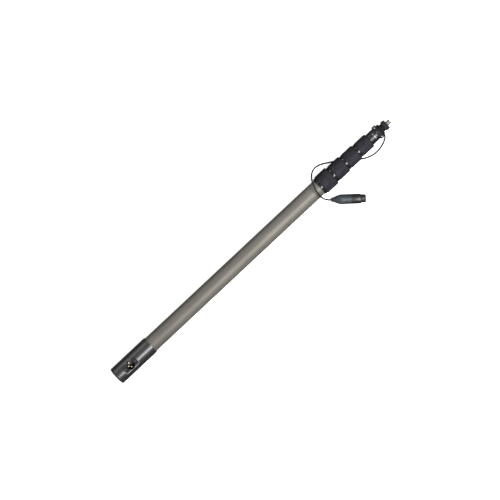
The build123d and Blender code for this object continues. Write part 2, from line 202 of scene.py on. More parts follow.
def gloss_anodised(name, coat):
    """Semi-gloss black anodising over fine turning marks."""
    finish = Finish(name, {
        "Metallic": 0.35, "Specular IOR Level": 0.8,
        "Coat Weight": coat, "Coat IOR": 1.8, "Coat Roughness": 0.38,
    })
    turning = finish.noise(0.35, (1, 40, 40), detail=2.0)
    wear = finish.noise(9)
    finish.colours(finish.spread(wear, 0, 1), tint(28, 27, 30), tint(40, 39, 42))
    finish.roughness(finish.noise(2.5), 0.3, 0.38)
    finish.bump(turning, 0.008, 0.25)
    return finish.material


def matt_anodised(name, first, second):
    """Matt black anodising, rubbed a little paler here and there."""
    finish = Finish(name, {"Metallic": 0.0, "Specular IOR Level": 0.2})
    rub = finish.noise(6, (2, 1, 1))
    fine = finish.noise(0.4, detail=2.0)
    finish.colours(finish.spread(rub, 0, 1), first, second)
    finish.roughness(fine, 0.68, 0.8)
    finish.bump(fine, 0.03, 0.4)
    return finish.material


def ferrule_gloss():
    """Polished black anodising."""
    finish = Finish("ferrule_gloss", {"Metallic": 0.2, "Coat Weight": 0.35, "Coat Roughness": 0.06})
    swirl = finish.noise(0.6, (0.4, 12, 12), detail=2.0)
    finish.colours(swirl, tint(20, 20, 22), tint(34, 33, 35))
    finish.roughness(finish.noise(3), 0.12, 0.22)
    finish.bump(swirl, 0.008, 0.3)
    return finish.material


def plastic(name, first, second, low, high, grain=0.5, depth=0.03):
    """Moulded plastic: two close tones and a fine spark-eroded grain."""
    finish = Finish(name, {"Specular IOR Level": 0.5})
    texture = finish.noise(grain, detail=2.0)
    finish.colours(finish.spread(finish.noise(5), 0, 1), first, second)
    finish.roughness(texture, low, high)
    finish.bump(texture, depth, 0.5)
    return finish.material


def rubber(name, first, second, low, high):
    """Soft rubber: dusty matt tones, with a fine orange-peel skin."""
    finish = Finish(name, {
        "Specular IOR Level": 0.35, "Sheen Weight": 0.08, "Sheen Roughness": 0.5,
    })
    peel = finish.noise(0.7, detail=4.0)
    dust = finish.spread(finish.noise(7), 0, 1)
    finish.colours(dust, first, second)
    finish.roughness(peel, low, high)
    finish.bump(peel, 0.04, 0.45)
    return finish.material


def plug_lacquer():
    """Satin black lacquer on the plug's cast shell."""
    finish = Finish("plug_lacquer", {"Specular IOR Level": 0.4})
    skin = finish.noise(0.9, detail=3.0)
    finish.colours(finish.spread(finish.noise(6), 0, 1), tint(27, 27, 28), tint(37, 37, 38))
    finish.roughness(skin, 0.42, 0.54)
    finish.bump(skin, 0.02, 0.35)
    return finish.material


def metal(name, first, second, low, high, metallic=1.0):
    """Bare or plated metal with fine tool marks."""
    finish = Finish(name, {"Metallic": metallic})
    marks = finish.noise(0.3, (1, 6, 6), detail=2.0)
    finish.colours(finish.spread(finish.noise(1.5), 0, 1), first, second)
    finish.roughness(marks, low, high)
    finish.bump(marks, 0.006, 0.4)
    return finish.material


FINISHES = {
    "tube_anodised": tube_anodised(),
    "housing_anodised": gloss_anodised("housing_anodised", 0.75),
    "collar_anodised": matt_anodised("collar_anodised", tint(33, 32, 38), tint(46, 45, 52)),
    "ferrule_gloss": ferrule_gloss(),
    "bush_plastic": plastic("bush_plastic", tint(196, 193, 184), tint(208, 205, 197), 0.4, 0.5),
    "insert_plastic": plastic("insert_plastic", tint(24, 24, 25), tint(33, 33, 34), 0.38, 0.5),
    "boot_plastic": plastic("boot_plastic", tint(46, 53, 58), tint(58, 65, 70), 0.36, 0.48),
    "plug_lacquer": plug_lacquer(),
    "seal_rubber": rubber("seal_rubber", tint(26, 26, 27), tint(38, 38, 39), 0.6, 0.75),
    "cord_rubber": rubber("cord_rubber", tint(11, 11, 12), tint(20, 20, 21), 0.45, 0.6),
    "lead_plastic": plastic("lead_plastic", tint(150, 36, 32), tint(166, 44, 38), 0.35, 0.45),
    "contact_gold": metal(
        "contact_gold", tint(244, 226, 180), tint(252, 238, 200), 0.24, 0.34, metallic=0.6
    ),
    "bright_steel": metal("bright_steel", tint(104, 104, 107), tint(134, 134, 137), 0.36, 0.5),
}
HEAD_BLACK = matt_anodised("head_black", tint(13, 13, 14), tint(24, 24, 26))
SCREW_BLACK = matt_anodised("screw_black", tint(62, 62, 65), tint(80, 80, 83))
FLANGE_BLACK = matt_anodised("flange_black", tint(34, 34, 37), tint(48, 47, 51))
SLEEVE_BLACK = gloss_anodised("sleeve_black", 0)
STUD_STEEL = metal("stud_steel", tint(168, 166, 162), tint(194, 192, 187), 0.4, 0.5, 0.7)
MARK_INK = plastic("mark_ink", tint(160, 160, 163), tint(182, 182, 185), 0.4, 0.5)


# ------------------------------------------------------------------ mesh making
def new_piece(name, mesh_maker, sharp_degrees=34):
    """Turns a bmesh into an object: welded, faces outwards, smooth but for its sharp edges."""
    bmesh.ops.remove_doubles(mesh_maker, verts=mesh_maker.verts, dist=1e-7)
    bmesh.ops.recalc_face_normals(mesh_maker, faces=mesh_maker.faces)
    mesh = bpy.data.meshes.new(name)
    mesh_maker.to_mesh(mesh)
    mesh_maker.free()
    piece = bpy.data.objects.new(name, mesh)
    bpy.context.scene.collection.objects.link(piece)
    smooth(piece, sharp_degrees)
    return piece


def smooth(piece, sharp_degrees=34):
    """Smooth shading, with edges sharper than this angle kept crisp."""
    piece.data.shade_smooth()
    piece.data.set_sharp_from_angle(angle=radians(sharp_degrees))


def eased(outline, steps=3):
    """Rounds each corner that has a third value, from that far before it to that far after it.

    The other corners keep their exact values, so that a shape function can tell them by radius.
    """
    points = []
    for index, corner in enumerate(outline):
        if len(corner) == 2:
            points.append(tuple(corner))
            continue
        here = Vector(corner[:2])
        before = Vector(outline[index - 1][:2]) - here
        after = Vector(outline[(index + 1) % len(outline)][:2]) - here
        first = here + before.normalized() * min(corner[2], 0.48 * before.length)
        last = here + after.normalized() * min(corner[2], 0.48 * after.length)
        for step in range(steps + 1):
            part = step / steps
            points.append(first * (1 - part) ** 2 + here * 2 * part * (1 - part) + last * part**2)
    return points


def turned(name, outline, places=(POLE,), around=96, shape=None, arc=None):
    """A closed (along, radius) outline turned about local X, at each place.

    shape(along, radius, turn) may change a radius. An arc (first, last) in radians, from local +Z
    towards +Y, leaves a closed segment instead of a full turn.
    """
    maker = bmesh.new()
    first, last = arc or (0, tau)
    outline = eased(outline)
    count = around + 1 if arc else around
    for place in places:
        rings = []
        for step in range(count):
            turn = first + (last - first) * step / around
            ring = []
            for along, radius in outline:
                if shape:
                    radius = shape(along, radius, turn)
                point = Vector((along, radius * sin(turn), radius * cos(turn)))
                ring.append(maker.verts.new(place @ point))
            rings.append(ring)
        for ring, following in zip(rings, rings[1:] if arc else rings[1:] + rings[:1]):
            for index in range(len(outline)):
                after = (index + 1) % len(outline)
                maker.faces.new((ring[index], ring[after], following[after], following[index]))
        if arc:
            maker.faces.new(rings[0])
            maker.faces.new(rings[-1])
    return new_piece(name, maker)


def applied(piece):
    """Bakes a piece's modifiers into its mesh."""
    graph = bpy.context.evaluated_depsgraph_get()
    mesh = bpy.data.meshes.new_from_object(piece.evaluated_get(graph))
    piece.modifiers.clear()
    piece.data = mesh
    smooth(piece)
    return piece


def carve(piece, *cutters):
    """Cuts each cutter's volume out of the piece."""
    for cutter in cutters:
        modifier = piece.modifiers.new("cut", "BOOLEAN")
        modifier.operation = "DIFFERENCE"
        modifier.solver = "EXACT"
        modifier.object = cutter
        applied(piece)
        bpy.data.objects.remove(cutter)
    return piece


def soften_edges(piece, width, angle=40):
    """Chamfers the piece's sharp edges by this many millimetres."""
    modifier = piece.modifiers.new("edges", "BEVEL")
    modifier.width = width / MM
    modifier.segments = 1
    modifier.limit_method = "ANGLE"
    modifier.angle_limit = radians(angle)
    modifier.use_clamp_overlap = True
    return applied(piece)


def block(low, high, place):
    """A box between two corners, as a cutter."""
    maker = bmesh.new()
    bmesh.ops.create_cube(maker, size=1)
    middle = (Vector(low) + Vector(high)) / 2
    size = Vector(high) - Vector(low)
    for vertex in maker.verts:
        vertex.co = place @ (middle + Vector([c * s for c, s in zip(vertex.co, size)]))
    return new_piece("cutter", maker)


def slab(name, loops, depth, edge, place):
    """A plate from local Z 0 to depth, filled between closed (x, y) loops, with chamfered edges."""
    curve = bpy.data.curves.new(name, "CURVE")
    curve.dimensions = "2D"
    curve.fill_mode = "BOTH"
    curve.extrude = depth / 2 - edge
    curve.bevel_depth = edge
    curve.bevel_resolution = 0
    curve.offset = -edge
    for loop in loops:
        spline = curve.splines.new("POLY")
        spline.points.add(len(loop) - 1)
        spline.use_cyclic_u = True
        for point, (x, y) in zip(spline.points, loop):
            point.co = (x, y, 0, 1)
    drawn = bpy.data.objects.new(name, curve)
    bpy.context.scene.collection.objects.link(drawn)
    graph = bpy.context.evaluated_depsgraph_get()
    mesh = bpy.data.meshes.new_from_object(drawn.evaluated_get(graph))
    bpy.data.objects.remove(drawn)
    maker = bmesh.new()
    maker.from_mesh(mesh)
    bmesh.ops.transform(
        maker, matrix=place @ Matrix.Translation((0, 0, depth / 2)), verts=maker.verts
    )
    return new_piece(name, maker)


def arc_points(centre, radius, first, last, steps):
    """Points on an arc, with angles in degrees."""
    angles = [radians(first + (last - first) * step / steps) for step in range(steps + 1)]
    return [(centre[0] + radius * cos(a), centre[1] + radius * sin(a)) for a in angles]


def merged(piece, *others):
    """Puts the others' meshes into the piece."""
    maker = bmesh.new()
    for part in (piece, *others):
        maker.from_mesh(part.data)
    maker.to_mesh(piece.data)
    maker.free()
    for part in others:
        bpy.data.objects.remove(part)
    smooth(piece)
    return piece


def stand_in(piece, slot, *nodes, finish=None):
    """The piece takes the place of CAD nodes: their body, and a slot's finish or its own."""
    piece.data.materials.clear()
    piece.data.materials.append(finish or FINISHES[slot])
    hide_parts(*nodes)
    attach(piece, frame["nodes"][nodes[0]]["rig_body"])
    return piece


def paint(slot, *nodes):
    """CAD nodes that stay as they are get a slot's finish."""
    for node in nodes:
        kept = frame["nodes"][node]
        kept.data.materials.clear()
        kept.data.materials.append(FINISHES[slot])


def span(node):
    """A turned node's first and last stations and outer radius, in millimetres."""
    low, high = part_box(node)
    return (low.x - BUTT_X) * MM, (high.x - BUTT_X) * MM, (high.y - low.y) / 2 * MM


def ring_outline(start, end, outer, inner, ease=0.3):
    """A plain ring with its outer edges eased."""
    return ((start, inner), (start, outer, ease), (end, outer, ease), (end, inner))


# ------------------------------------------------------------------ the pigtail cord
CORD_R = 1.5
EXIT_DROP = radians(36.87)  # below horizontal
EXIT_DIR = Vector((0, -cos(EXIT_DROP), -sin(EXIT_DROP)))
EXIT_STATION = 667.8
GROMMET_END = 12.8
EXIT_CENTRE = POLE @ Vector((EXIT_STATION, 0, 0))
CORD_EXIT = EXIT_CENTRE + EXIT_DIR * GROMMET_END / MM
CORD_ROUTE = (
    tuple(CORD_EXIT),
    (0.3218, -0.0134, 0.00925),
    (0.3203, -0.0169, 0.0070),
    (0.3166, -0.0205, 0.0050),
    (0.3109, -0.0239, 0.0032),
    (0.3028, -0.0268, 0.0018),
    (0.2926, -0.0284, 0.00155),
    (0.2816, -0.0277, 0.00155),
    (0.2706, -0.0242, 0.00155),
    (0.2598, -0.0182, 0.00155),
    (0.2496, -0.0098, 0.00155),
    (0.2408, -0.0006, 0.00155),
    (0.2320, 0.0078, 0.00155),
    (0.2214, 0.0127, 0.00155),
    (0.2115, 0.0186, 0.00175),
    (0.2022, 0.0249, 0.0044),
    (0.1932, 0.0294, 0.0104),
    (0.1858, 0.0319, 0.0188),
    (0.1792, 0.0320, 0.0276),
    (0.1726, 0.0298, 0.0358),
    (0.1668, 0.0246, 0.0416),
    (0.1624, 0.0164, 0.0442),
    (0.1588, 0.0066, 0.0442),
    (0.1570, -0.0028, 0.0431),
    (0.1566, -0.0100, 0.0402),
    (0.1572, -0.0158, 0.0355),
    (0.1583, -0.0200, 0.0276),
    (0.1593, -0.0229, 0.0200),
    (0.1604, -0.0255, 0.0141),
    (0.1618, -0.0281, 0.0109),
    (0.1642, -0.0312, 0.0093),
    (0.1674, -0.03396, 0.0093),
)


PLUG_START = Vector(CORD_ROUTE[-1])
PLUG_DIR = (PLUG_START - Vector(CORD_ROUTE[-2])).normalized()
LEAD_LENGTH = 0.034  # how far the cord runs on inside the plug
LEAD_ROUTE = (PLUG_START + PLUG_DIR * LEAD_LENGTH / 3, PLUG_START + PLUG_DIR * LEAD_LENGTH)


def make_cord():
    """The cord from the head to its plug and on to the plug's contacts, as one smooth spline."""
    route = (*CORD_ROUTE, *LEAD_ROUTE)
    curve = bpy.data.curves.new("pigtail_cord", "CURVE")
    curve.dimensions = "3D"
    curve.bevel_depth = CORD_R / MM
    curve.bevel_resolution = 5
    curve.resolution_u = 12
    curve.use_fill_caps = True
    spline = curve.splines.new("NURBS")
    spline.points.add(len(route) - 1)
    for point, place in zip(spline.points, route):
        point.co = (*place, 1)
    spline.order_u = 3
    spline.use_endpoint_u = True
    cord = bpy.data.objects.new("pigtail_cord", curve)
    bpy.context.scene.collection.objects.link(cord)
    return stand_in(cord, "cord_rubber", "pigtail_cable", "plug_lead")


cord = make_cord()


# ------------------------------------------------------------------ small hardware
def hexagon(radius, turn):
    """A hexagon's radius at a turn, with corners this far out."""
    return radius * cos(pi / 6) / cos((turn + pi / 6) % (pi / 3) - pi / 6)


def screw(name, places, head_r, head_height, recess, shank_r, shank_length):
    """Socket screws along local X, heads up from 0, with a hexagon recess."""
    depth = 0.6 * head_height
    outline = (
        (-shank_length, 0),
        (-shank_length, shank_r, 0.15),
        (0, shank_r),
        (0, head_r, 0.1),
        (head_height, head_r, 0.4 * head_height),
        (head_height, recess),
        (head_height - depth, recess),
        (head_height - depth, 0),
    )
    return turned(
        name, outline, places, around=48,
        shape=lambda along, radius, turn: hexagon(radius, turn) if radius == recess else radius,
    )


def facing(point, direction, roll=0):
    """A place in millimetres whose local X points along direction."""
    turn = Vector(direction).to_track_quat("X", "Z").to_matrix().to_4x4()
    return Matrix.Translation(point) @ turn @ Matrix.Rotation(roll, 4, "X") @ SCALE


def frame_point(station, across, above):
    """Station and offsets from the pole's axis in millimetres, as a point of the frame."""
    return POLE @ Vector((station, across, above))


# ------------------------------------------------------------------ butt end
HOUSING_START, HOUSING_END, HOUSING_R = span("base_housing")
TUBE_WALL = 1.25
CAVITY_R = 13.5
TUBE_SEAT = span("tube_1")[0]
FLANGE_LOW, FLANGE_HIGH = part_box("socket_shell")
SOCKET_STATION = ((FLANGE_LOW.x + FLANGE_HIGH.x) / 2 - BUTT_X) * MM
FLANGE_TOP = (FLANGE_HIGH.z - AXIS_Z) * MM
FLANGE_THICKNESS = 0.8
FLAT_HEIGHT = FLANGE_TOP - FLANGE_THICKNESS
FLAT_HALF_LENGTH = 16.05
CUP_R = 8.5
SOCKET_BORE_R = 7.95
SCREW_OFFSET = 12.0
SOCKET = Matrix.Translation(frame_point(SOCKET_STATION, 0, 0)) @ SCALE
SOCKET_BOTTOM = -9.0  # of the socket's cup, from the pole's axis
CAP_SEAT = 9.0
GRUB_STATION = 83.0
GRUB_FIRST = radians(38)
GRUB_R = 1.45


def make_housing():
    """The base, bored for the first tube and the cap, with the flat for the socket."""
    tube_r = span("tube_1")[2]
    outline = (
        (HOUSING_START, CAVITY_R + 0.5),
        (HOUSING_START, HOUSING_R, 0.7),
        (HOUSING_END, HOUSING_R, 1.5),
        (HOUSING_END, tube_r + SNUG),
        (TUBE_SEAT, tube_r + SNUG),
        (TUBE_SEAT, CAVITY_R),
        (CAP_SEAT, CAVITY_R),
        (CAP_SEAT, CAVITY_R + 0.5),
    )
    housing = turned("base_housing_body", outline, around=128)
    flat = block(
        (SOCKET_STATION - FLAT_HALF_LENGTH, -CUT_PAST, FLAT_HEIGHT),
        (SOCKET_STATION + FLAT_HALF_LENGTH, CUT_PAST, CUT_PAST),
        POLE,
    )
    well = turned(
        "cutter", ring_outline(0, CUT_PAST, CUP_R + 0.05, 0, ease=0),
        [facing(frame_point(SOCKET_STATION, 0, 0), (0, 0, 1))], around=64,
    )
    grub_holes = turned(
        "cutter", ring_outline(10, CUT_PAST, GRUB_R + 0.1, 0, ease=0), grub_places(0), around=32
    )
    carve(housing, flat, well, grub_holes)
    soften_edges(housing, 0.1)
    stand_in(housing, "housing_anodised", "base_housing")


def grub_places(height):
    """Three places round the housing, facing outwards, this far from the axis."""
    places = []
    for index in range(3):
        turn = GRUB_FIRST + tau * index / 3
        out = Vector((0, sin(turn), cos(turn)))
        origin = frame_point(GRUB_STATION, 0, 0) + out * height / MM
        places.append(facing(origin, out))
    return places


def make_butt_cap():
    """The end cap, domed at its edge, with a shallow ring turned in its face."""
    spigot_r = CAVITY_R + 0.45
    spigot_end = 8.6
    face_r = 11.0
    dome_depth, dome_width = 2.2, 6.0
    steps = 8
    angles = [radians(90 * step / steps) for step in range(1, steps + 1)]
    outline = [
        (0.9, 0),
        (0.9, 6.2, 0.3),
        (0.0, 6.9, 0.3),
        (0.0, face_r),
        *[(dome_depth - dome_depth * cos(a), face_r + dome_width * sin(a)) for a in angles],
        (dome_depth, spigot_r),
        (spigot_end, spigot_r),
        (spigot_end, face_r),
        (3.4, face_r),
        (3.4, 0),
    ]
    stand_in(turned("butt_end_cap", outline), "housing_anodised", "butt_cap")


def make_socket():
    """The male socket: a flange with a cup, its screws, and the base's grub screws."""
    corner = 4.0
    half_length, half_width = 15.5, 7.5
    screw_hole_r = 1.35
    plate_edge = []
    for x, y, first in ((1, 1, 0), (-1, 1, 90), (-1, -1, 180), (1, -1, 270)):
        centre = (x * (half_length - corner), y * (half_width - corner))
        plate_edge += arc_points(centre, corner, first, first + 90, 8)
    loops = [plate_edge, arc_points((0, 0), CUP_R - 0.1, 0, 360, 64)[:-1]]
    for side in (-1, 1):
        loops.append(arc_points((side * SCREW_OFFSET, 0), screw_hole_r, 0, 360, 24)[:-1])
    above = SOCKET @ Matrix.Translation((0, 0, FLAT_HEIGHT))
    flange = slab("socket_flange", loops, FLANGE_THICKNESS, 0.2, above)
    upwards = facing(frame_point(SOCKET_STATION, 0, 0), (0, 0, 1))
    cup = turned(
        "cup",
        (
            (SOCKET_BOTTOM, SOCKET_BORE_R),
            (SOCKET_BOTTOM, CUP_R),
            (FLANGE_TOP, CUP_R, 0.1),
            (FLANGE_TOP, SOCKET_BORE_R, 0.35),
        ),
        [upwards], around=64,
    )
    stand_in(merged(flange, cup), "housing_anodised", "socket_shell", finish=FLANGE_BLACK)
    paint("insert_plastic", "socket_insert")
    paint("contact_gold", "socket_pins")
    seats = [
        facing(frame_point(SOCKET_STATION + side * SCREW_OFFSET, 0, FLANGE_TOP), (0, 0, 1))
        for side in (-1, 1)
    ]
    screws = screw(
        "socket_flange_screws", seats,
        head_r=2.4, head_height=1.0, recess=1.15, shank_r=1.2, shank_length=3.2,
    )
    stand_in(screws, "bright_steel", "socket_screws", finish=SCREW_BLACK)
    grubs = screw(
        "grub_screw_set", grub_places(17.3),
        head_r=GRUB_R, head_height=0.05, recess=0.8, shank_r=GRUB_R, shank_length=1.35,
    )
    stand_in(grubs, "bright_steel", "grub_screws", finish=SCREW_BLACK)


make_housing()
make_butt_cap()
make_socket()
paint("lead_plastic", "socket_leads")
paint("seal_rubber", "cable_anchor")


# ------------------------------------------------------------------ tubes and locking stages
KNURL_PITCH = 2.5
KNURL_DEPTH = 0.4
COLLAR_GAP = 0.2  # between a ferrule's shoulder and its collar
BOSS_WALL = 1.4  # of a ferrule's boss, over its tube


def groove(value):
    """0 at each whole number, rising to 1 half way between."""
    return 1 - abs(2 * (value % 1) - 1)


def make_tube(number):
    """One open-ended tube section."""
    start, end, outer = span(f"tube_{number}")
    outline = (
        (start, outer - TUBE_WALL, 0.2),
        (start, outer, 0.3),
        (end, outer, 0.3),
        (end, outer - TUBE_WALL, 0.2),
    )
    tube = turned(f"section_tube_{number}", outline, around=128)
    stand_in(tube, "tube_anodised", f"tube_{number}")


def make_ferrule(stage):
    """The glossy ring behind a collar, and the threaded boss that the collar screws on to."""
    start, end, outer = span(f"ferrule_{stage}")
    tube_r = span(f"tube_{stage}")[2]
    next_r = span(f"tube_{stage + 1}")[2]
    shoulder = span(f"lock_collar_{stage}")[0] - COLLAR_GAP
    boss_r = tube_r + BOSS_WALL
    pitch = 1.0
    depth = 0.45
    stop_length = 0.45
    thread_start, thread_end = shoulder + 1.0, end - 0.5
    rows = 44
    thread = [
        (thread_start + (thread_end - thread_start) * row / rows, boss_r)
        for row in range(rows + 1)
    ]

    def cut_thread(along, radius, turn):
        if radius != boss_r or not thread_start <= along <= thread_end:
            return radius
        return radius - depth * groove(along / pitch - turn / tau)

    outline = (
        (start, tube_r + SNUG),
        (start, outer, 0.9),
        (shoulder, outer, 0.9),
        (shoulder, boss_r),
        *thread,
        (end, boss_r - 0.5),
        (end, next_r + 0.15),
        (end - stop_length, next_r + 0.15),
        (end - stop_length, tube_r + SNUG),
    )
    ferrule = turned(f"ferrule_ring_{stage}", outline, around=96, shape=cut_thread)
    stand_in(ferrule, "ferrule_gloss", f"ferrule_{stage}")


def make_collar(stage):
    """A locking collar: a diamond-knurled grip between plain bands, and a cone inside."""
    start, end, outer = span(f"lock_collar_{stage}")
    next_r = span(f"tube_{stage + 1}")[2]
    boss_r = span(f"tube_{stage}")[2] + BOSS_WALL
    bore_r = boss_r + 0.15
    lip = 0.7
    shoulder = start - COLLAR_GAP
    cone_start, cone_end = shoulder + 13.4, shoulder + 22.9
    cone_r = next_r + 1.15
    band = 2.2
    rows_per_pitch = 4
    first, last = start + band, end - band
    repeats = round((last - first) / KNURL_PITCH)
    pitch = (last - first) / repeats
    starts = round(tau * outer / KNURL_PITCH)
    rows = [
        first + pitch * step / rows_per_pitch for step in range(rows_per_pitch * repeats + 1)
    ]
    under = outer - KNURL_DEPTH

    def knurl(along, radius, turn):
        if radius != under:
            return radius
        lead = starts * turn / tau
        reach = (along - first) / pitch
        height = min(groove(lead + reach), groove(lead - reach))
        return under + KNURL_DEPTH * min(1, 1.5 * height)

    outline = (
        (start, bore_r),
        (start, outer - 0.1, 1.7),
        (first - 0.6, outer - 0.1, 0.2),
        (first - 0.3, under - 0.1),
        *[(row, under) for row in rows],
        (last + 0.3, under - 0.1),
        (last + 0.6, outer - 0.1, 0.2),
        (end, outer - 0.1, 1.7),
        (end, next_r + 0.4, 0.3),
        (end - lip, next_r + 0.4),
        (end - lip, cone_r),
        (cone_end, cone_r),
        (cone_start, bore_r),
    )
    collar = turned(f"collar_grip_{stage}", outline, around=4 * starts, shape=knurl)
    stand_in(collar, "collar_anodised", f"lock_collar_{stage}")


def make_helix(stage):
    """One section's share of the coiled cable, wound as a fixed helix."""
    node = f"coil_{stage}"
    start, end, outer = span(node)
    wire_r = 1.25
    winding_r = outer - wire_r - 0.15
    turns = 42
    steps = 18
    sides = 8
    maker = bmesh.new()
    previous = None
    first, last = start + wire_r, end - wire_r
    for step in range(turns * steps + 1):
        turn = tau * step / steps
        along = first + (last - first) * step / (turns * steps)
        out = Vector((0, sin(turn), cos(turn)))
        ring = []
        for side in range(sides):
            angle = tau * side / sides
            offset = out * (winding_r + wire_r * cos(angle)) + Vector((wire_r * sin(angle), 0, 0))
            ring.append(maker.verts.new(POLE @ (Vector((along, 0, 0)) + offset)))
        if previous:
            for side in range(sides):
                after = (side + 1) % sides
                maker.faces.new((previous[side], previous[after], ring[after], ring[side]))
        else:
            maker.faces.new(ring)
        previous = ring
    maker.faces.new(previous)
    helix = new_piece(f"coiled_cable_{stage}", maker)
    helix.data.materials.append(FINISHES["cord_rubber"])
    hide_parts(node)
    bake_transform(helix)


for number in range(1, 6):
    make_tube(number)
for stage in STAGES:
    make_ferrule(stage)
    make_collar(stage)
    make_helix(stage)
    paint("bush_plastic", f"guide_bush_{stage + 1}", f"collet_{stage}")
    paint("seal_rubber", f"wiper_{stage}")


# ------------------------------------------------------------------ tip
def make_sleeve():
    """The tip sleeve, with two plain marks where the real one has lettering."""
    start, end, outer = span("tip_sleeve")
    inner = span("tube_5")[2] + SNUG
    sleeve = turned("tip_sleeve_ring", ring_outline(start, end, outer, inner, 0.5))
    stand_in(sleeve, "housing_anodised", "tip_sleeve", finish=SLEEVE_BLACK)
    middle = (start + end) / 2 + 2.6
    half_width = 0.8
    marks = ((-27, -19), (-6, 24))  # degrees from the top towards -Y
    for index, (low, high) in enumerate(marks, 1):
        mark = turned(
            f"sleeve_mark_{index}",
            ring_outline(middle - half_width, middle + half_width, outer + 0.04, outer - 0.1, 0.03),
            around=8, arc=(radians(-high), radians(-low)),
        )
        mark.data.materials.append(MARK_INK)
        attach(mark, "section_5")


SET_SCREW_STATION = 659.1
SET_SCREW_LEAN = radians(15)
EAR_SCREW_Y = 10.4


def make_clamp():
    """The split clamp round the cable head: two eared halves, their screws and a set screw."""
    start, end, reach = span("clamp_upper")
    outer = 11.5
    bore = 9.05
    split = 0.35
    half_height = 4.4
    meet = sqrt(outer**2 - half_height**2)  # where an ear runs into the round
    edge = 0.35
    centre = (start + end) / 2
    lean = (0, sin(SET_SCREW_LEAN), cos(SET_SCREW_LEAN))
    set_screw_seat = 11.2
    place = Matrix.Translation(frame_point(start, 0, 0)) @ Matrix((
        (0, 0, 1, 0), (1, 0, 0, 0), (0, 1, 0, 0), (0, 0, 0, 1),
    )) @ SCALE
    for node, side in (("clamp_upper", 1), ("clamp_lower", -1)):
        from_axis = 22.5
        loop = [
            *eased((
                (reach, split), (reach, half_height, 2.2), (meet, half_height),
            ), 6),
            *arc_points((0, 0), outer, from_axis, 180 - from_axis, 40),
            *eased((
                (-meet, half_height), (-reach, half_height, 2.2), (-reach, split),
            ), 6),
            *arc_points((0, 0), bore, 177.8, 2.2, 48),
        ]
        piece = slab(
            f"{node}_half", [[(x, side * y) for x, y in loop]], end - start, edge, place
        )
        if side > 0:
            hole = turned(
                "cutter", ring_outline(0, CUT_PAST, 1.45, 0, ease=0),
                [facing(frame_point(SET_SCREW_STATION, 0, 0), lean)], around=32,
            )
            spot_faces = turned(
                "cutter", ring_outline(half_height, CUT_PAST, 1.65, 0, ease=0),
                [facing(frame_point(centre, y, 0), (0, 0, 1)) for y in (-EAR_SCREW_Y, EAR_SCREW_Y)],
                around=32,
            )
            carve(piece, hole, spot_faces)
        stand_in(piece, "collar_anodised", node)
    seats = [
        facing(frame_point(centre, y, half_height), (0, 0, 1)) for y in (-EAR_SCREW_Y, EAR_SCREW_Y)
    ]
    screws = screw(
        "clamp_screw_pair", seats,
        head_r=1.45, head_height=1.3, recess=0.75, shank_r=1.0, shank_length=2 * half_height,
    )
    stand_in(screws, "bright_steel", "clamp_screws")
    seat = frame_point(SET_SCREW_STATION, set_screw_seat * lean[1], set_screw_seat * lean[2])
    set_screw = screw(
        "head_set_screw_body", [facing(seat, lean)],
        head_r=1.4, head_height=0.8, recess=0.75, shank_r=1.38, shank_length=2.0,
    )
    stand_in(set_screw, "bright_steel", "head_set_screw")


def make_head():
    """The cable head, which closes the pole, and the grommet that the cord leaves by."""
    start, end, flange_r = span("cable_head")
    clamp_end = span("clamp_upper")[1] + 0.1
    sleeve_end = span("tip_sleeve")[1]
    barrel_r = 9.0
    lead_r = 4.2
    end_wall = 1.2
    grommet_r = 2.05
    grommet_start = 6.0
    cord_bore = CORD_R + 0.01
    inside = span("tube_5")[2] - TUBE_WALL - SNUG
    outline = (
        (start, lead_r),
        (start, inside, 0.3),
        (sleeve_end, inside),
        (sleeve_end, barrel_r),
        (clamp_end, barrel_r),
        (clamp_end, flange_r, 0.4),
        (end, flange_r, 0.9),
        (end, 0),
        (end - end_wall, 0),
        (end - end_wall, lead_r),
    )
    head = turned("cable_head_body", outline)
    outwards = facing(EXIT_CENTRE, EXIT_DIR)
    hole_outline = ring_outline(1, CUT_PAST, grommet_r + 0.05, 0, ease=0)
    hole = turned("cutter", hole_outline, [outwards], around=32)
    carve(head, hole)
    stand_in(head, "housing_anodised", "cable_head", finish=HEAD_BLACK)
    relief = turned(
        "cord_grommet",
        (
            (grommet_start, cord_bore),
            (grommet_start, grommet_r),
            (11.3, grommet_r),
            (11.3, 2.25, 0.1),
            (12.0, 2.25, 0.2),
            (12.1, grommet_r),
            (12.4, grommet_r),
            (GROMMET_END, 1.95, 0.3),
            (GROMMET_END, cord_bore),
        ),
        [outwards], around=32,
    )
    stand_in(relief, "seal_rubber", "cable_grommet")
    paint("cord_rubber", "inner_lead")


